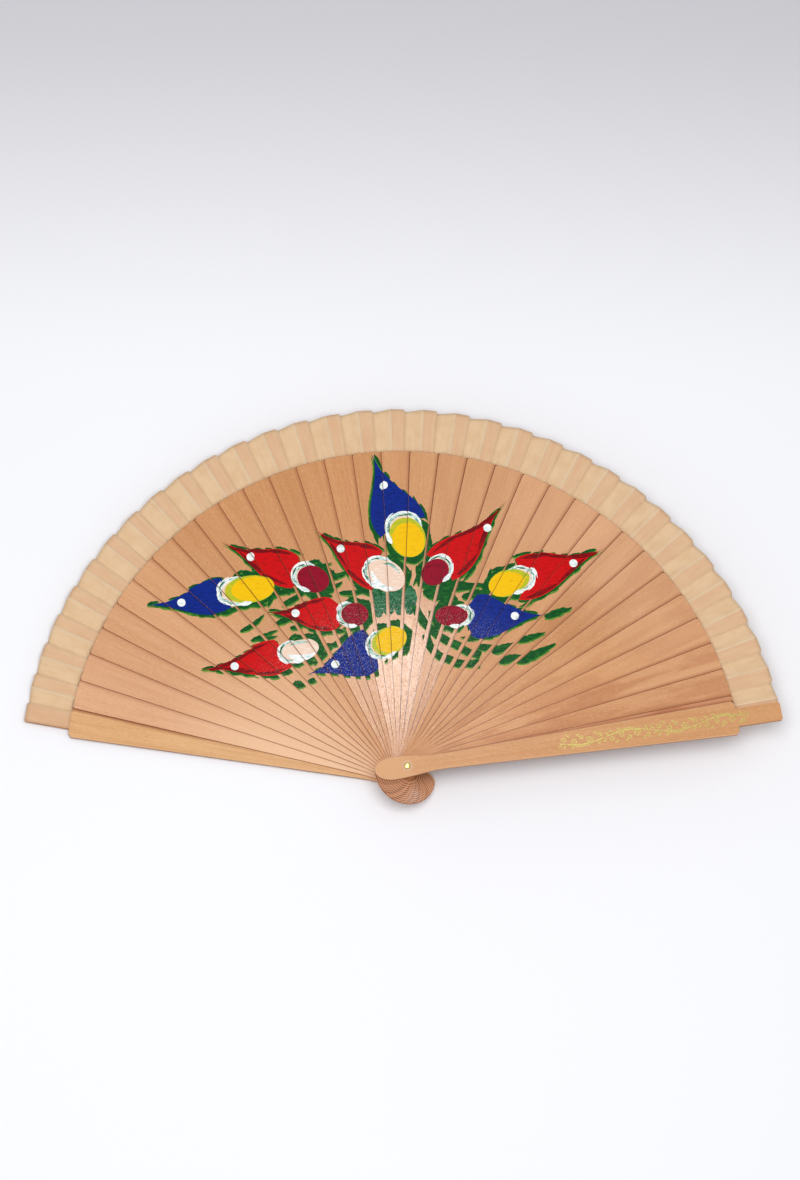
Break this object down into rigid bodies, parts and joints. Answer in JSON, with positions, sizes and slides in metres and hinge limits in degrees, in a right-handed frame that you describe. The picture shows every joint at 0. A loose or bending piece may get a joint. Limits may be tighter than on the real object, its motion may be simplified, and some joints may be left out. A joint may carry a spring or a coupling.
{
  "type": "folding hand fan",
  "caption": "Folding hand fan: thin wooden sticks between two thicker guards on one rivet, with a narrow pleated cloth leaf that opens and closes.",
  "frame": {"origin": "on the rivet's axis, at the flat end of the rivet's rear head", "axes": "+Z along the rivet from the rear guard to the front guard, +Y along the middle of the opened fan, +X towards the front guard's side"},
  "size_m": [0.4198, 0.23, 0.0298],
  "materials": {
    "guard_wood": "satin varnish",
    "stick_wood": "satin varnish, painted front",
    "leaf_cloth": "thin plain-woven cotton, pleated",
    "rivet_brass": "polished",
    "clear_washer": "clear, glossy"
  },
  "bodies": {
    "rear_guard": {"rear_guard": "guard_wood", "leaf": "leaf_cloth", "rivet_pin": "rivet_brass", "rivet_rear_head": "rivet_brass", "rivet_front_cap": "rivet_brass", "rear_washer": "clear_washer", "front_washer": "clear_washer"},
    "stick_01": {"stick_01": "stick_wood"},
    "stick_02": {"stick_02": "stick_wood"},
    "stick_03": {"stick_03": "stick_wood"},
    "stick_04": {"stick_04": "stick_wood"},
    "stick_05": {"stick_05": "stick_wood"},
    "stick_06": {"stick_06": "stick_wood"},
    "stick_07": {"stick_07": "stick_wood"},
    "stick_08": {"stick_08": "stick_wood"},
    "stick_09": {"stick_09": "stick_wood"},
    "stick_10": {"stick_10": "stick_wood"},
    "stick_11": {"stick_11": "stick_wood"},
    "stick_12": {"stick_12": "stick_wood"},
    "stick_13": {"stick_13": "stick_wood"},
    "stick_14": {"stick_14": "stick_wood"},
    "stick_15": {"stick_15": "stick_wood"},
    "stick_16": {"stick_16": "stick_wood"},
    "stick_17": {"stick_17": "stick_wood"},
    "stick_18": {"stick_18": "stick_wood"},
    "stick_19": {"stick_19": "stick_wood"},
    "stick_20": {"stick_20": "stick_wood"},
    "stick_21": {"stick_21": "stick_wood"},
    "stick_22": {"stick_22": "stick_wood"},
    "stick_23": {"stick_23": "stick_wood"},
    "stick_24": {"stick_24": "stick_wood"},
    "stick_25": {"stick_25": "stick_wood"},
    "stick_26": {"stick_26": "stick_wood"},
    "stick_27": {"stick_27": "stick_wood"},
    "stick_28": {"stick_28": "stick_wood"},
    "stick_29": {"stick_29": "stick_wood"},
    "stick_30": {"stick_30": "stick_wood"},
    "stick_31": {"stick_31": "stick_wood"},
    "stick_32": {"stick_32": "stick_wood"},
    "front_guard": {"front_guard": "guard_wood"}
  },
  "joints": [
    {"name": "fan_fold", "type": "hinge", "parent": "rear_guard", "child": "stick_01", "pos_m": [0, 0, 0], "axis": [0, 0, 1], "range_deg": [0, 5], "deforming": ["leaf"]},
    {"name": "pivot_02", "type": "hinge", "parent": "stick_01", "child": "stick_02", "pos_m": [0, 0, 0], "axis": [0, 0, 1], "range_deg": [0, 5]},
    {"name": "pivot_03", "type": "hinge", "parent": "stick_02", "child": "stick_03", "pos_m": [0, 0, 0], "axis": [0, 0, 1], "range_deg": [0, 5]},
    {"name": "pivot_04", "type": "hinge", "parent": "stick_03", "child": "stick_04", "pos_m": [0, 0, 0], "axis": [0, 0, 1], "range_deg": [0, 5]},
    {"name": "pivot_05", "type": "hinge", "parent": "stick_04", "child": "stick_05", "pos_m": [0, 0, 0], "axis": [0, 0, 1], "range_deg": [0, 5]},
    {"name": "pivot_06", "type": "hinge", "parent": "stick_05", "child": "stick_06", "pos_m": [0, 0, 0], "axis": [0, 0, 1], "range_deg": [0, 5]},
    {"name": "pivot_07", "type": "hinge", "parent": "stick_06", "child": "stick_07", "pos_m": [0, 0, 0], "axis": [0, 0, 1], "range_deg": [0, 5]},
    {"name": "pivot_08", "type": "hinge", "parent": "stick_07", "child": "stick_08", "pos_m": [0, 0, 0], "axis": [0, 0, 1], "range_deg": [0, 5]},
    {"name": "pivot_09", "type": "hinge", "parent": "stick_08", "child": "stick_09", "pos_m": [0, 0, 0], "axis": [0, 0, 1], "range_deg": [0, 5]},
    {"name": "pivot_10", "type": "hinge", "parent": "stick_09", "child": "stick_10", "pos_m": [0, 0, 0], "axis": [0, 0, 1], "range_deg": [0, 5]},
    {"name": "pivot_11", "type": "hinge", "parent": "stick_10", "child": "stick_11", "pos_m": [0, 0, 0], "axis": [0, 0, 1], "range_deg": [0, 5]},
    {"name": "pivot_12", "type": "hinge", "parent": "stick_11", "child": "stick_12", "pos_m": [0, 0, 0], "axis": [0, 0, 1], "range_deg": [0, 5]},
    {"name": "pivot_13", "type": "hinge", "parent": "stick_12", "child": "stick_13", "pos_m": [0, 0, 0], "axis": [0, 0, 1], "range_deg": [0, 5]},
    {"name": "pivot_14", "type": "hinge", "parent": "stick_13", "child": "stick_14", "pos_m": [0, 0, 0], "axis": [0, 0, 1], "range_deg": [0, 5]},
    {"name": "pivot_15", "type": "hinge", "parent": "stick_14", "child": "stick_15", "pos_m": [0, 0, 0], "axis": [0, 0, 1], "range_deg": [0, 5]},
    {"name": "pivot_16", "type": "hinge", "parent": "stick_15", "child": "stick_16", "pos_m": [0, 0, 0], "axis": [0, 0, 1], "range_deg": [0, 5]},
    {"name": "pivot_17", "type": "hinge", "parent": "stick_16", "child": "stick_17", "pos_m": [0, 0, 0], "axis": [0, 0, 1], "range_deg": [0, 5]},
    {"name": "pivot_18", "type": "hinge", "parent": "stick_17", "child": "stick_18", "pos_m": [0, 0, 0], "axis": [0, 0, 1], "range_deg": [0, 5]},
    {"name": "pivot_19", "type": "hinge", "parent": "stick_18", "child": "stick_19", "pos_m": [0, 0, 0], "axis": [0, 0, 1], "range_deg": [0, 5]},
    {"name": "pivot_20", "type": "hinge", "parent": "stick_19", "child": "stick_20", "pos_m": [0, 0, 0], "axis": [0, 0, 1], "range_deg": [0, 5]},
    {"name": "pivot_21", "type": "hinge", "parent": "stick_20", "child": "stick_21", "pos_m": [0, 0, 0], "axis": [0, 0, 1], "range_deg": [0, 5]},
    {"name": "pivot_22", "type": "hinge", "parent": "stick_21", "child": "stick_22", "pos_m": [0, 0, 0], "axis": [0, 0, 1], "range_deg": [0, 5]},
    {"name": "pivot_23", "type": "hinge", "parent": "stick_22", "child": "stick_23", "pos_m": [0, 0, 0], "axis": [0, 0, 1], "range_deg": [0, 5]},
    {"name": "pivot_24", "type": "hinge", "parent": "stick_23", "child": "stick_24", "pos_m": [0, 0, 0], "axis": [0, 0, 1], "range_deg": [0, 5]},
    {"name": "pivot_25", "type": "hinge", "parent": "stick_24", "child": "stick_25", "pos_m": [0, 0, 0], "axis": [0, 0, 1], "range_deg": [0, 5]},
    {"name": "pivot_26", "type": "hinge", "parent": "stick_25", "child": "stick_26", "pos_m": [0, 0, 0], "axis": [0, 0, 1], "range_deg": [0, 5]},
    {"name": "pivot_27", "type": "hinge", "parent": "stick_26", "child": "stick_27", "pos_m": [0, 0, 0], "axis": [0, 0, 1], "range_deg": [0, 5]},
    {"name": "pivot_28", "type": "hinge", "parent": "stick_27", "child": "stick_28", "pos_m": [0, 0, 0], "axis": [0, 0, 1], "range_deg": [0, 5]},
    {"name": "pivot_29", "type": "hinge", "parent": "stick_28", "child": "stick_29", "pos_m": [0, 0, 0], "axis": [0, 0, 1], "range_deg": [0, 5]},
    {"name": "pivot_30", "type": "hinge", "parent": "stick_29", "child": "stick_30", "pos_m": [0, 0, 0], "axis": [0, 0, 1], "range_deg": [0, 5]},
    {"name": "pivot_31", "type": "hinge", "parent": "stick_30", "child": "stick_31", "pos_m": [0, 0, 0], "axis": [0, 0, 1], "range_deg": [0, 5]},
    {"name": "pivot_32", "type": "hinge", "parent": "stick_31", "child": "stick_32", "pos_m": [0, 0, 0], "axis": [0, 0, 1], "range_deg": [0, 5]},
    {"name": "pivot_front_guard", "type": "hinge", "parent": "stick_32", "child": "front_guard", "pos_m": [0, 0, 0], "axis": [0, 0, 1], "range_deg": [0, 1.2]}
  ],
  "couplings": [
    {"joint": "pivot_02", "follows": "fan_fold", "ratio": 1},
    {"joint": "pivot_03", "follows": "fan_fold", "ratio": 1},
    {"joint": "pivot_04", "follows": "fan_fold", "ratio": 1},
    {"joint": "pivot_05", "follows": "fan_fold", "ratio": 1},
    {"joint": "pivot_06", "follows": "fan_fold", "ratio": 1},
    {"joint": "pivot_07", "follows": "fan_fold", "ratio": 1},
    {"joint": "pivot_08", "follows": "fan_fold", "ratio": 1},
    {"joint": "pivot_09", "follows": "fan_fold", "ratio": 1},
    {"joint": "pivot_10", "follows": "fan_fold", "ratio": 1},
    {"joint": "pivot_11", "follows": "fan_fold", "ratio": 1},
    {"joint": "pivot_12", "follows": "fan_fold", "ratio": 1},
    {"joint": "pivot_13", "follows": "fan_fold", "ratio": 1},
    {"joint": "pivot_14", "follows": "fan_fold", "ratio": 1},
    {"joint": "pivot_15", "follows": "fan_fold", "ratio": 1},
    {"joint": "pivot_16", "follows": "fan_fold", "ratio": 1},
    {"joint": "pivot_17", "follows": "fan_fold", "ratio": 1},
    {"joint": "pivot_18", "follows": "fan_fold", "ratio": 1},
    {"joint": "pivot_19", "follows": "fan_fold", "ratio": 1},
    {"joint": "pivot_20", "follows": "fan_fold", "ratio": 1},
    {"joint": "pivot_21", "follows": "fan_fold", "ratio": 1},
    {"joint": "pivot_22", "follows": "fan_fold", "ratio": 1},
    {"joint": "pivot_23", "follows": "fan_fold", "ratio": 1},
    {"joint": "pivot_24", "follows": "fan_fold", "ratio": 1},
    {"joint": "pivot_25", "follows": "fan_fold", "ratio": 1},
    {"joint": "pivot_26", "follows": "fan_fold", "ratio": 1},
    {"joint": "pivot_27", "follows": "fan_fold", "ratio": 1},
    {"joint": "pivot_28", "follows": "fan_fold", "ratio": 1},
    {"joint": "pivot_29", "follows": "fan_fold", "ratio": 1},
    {"joint": "pivot_30", "follows": "fan_fold", "ratio": 1},
    {"joint": "pivot_31", "follows": "fan_fold", "ratio": 1},
    {"joint": "pivot_32", "follows": "fan_fold", "ratio": 1},
    {"joint": "pivot_front_guard", "follows": "fan_fold", "ratio": 0.24}
  ]
}
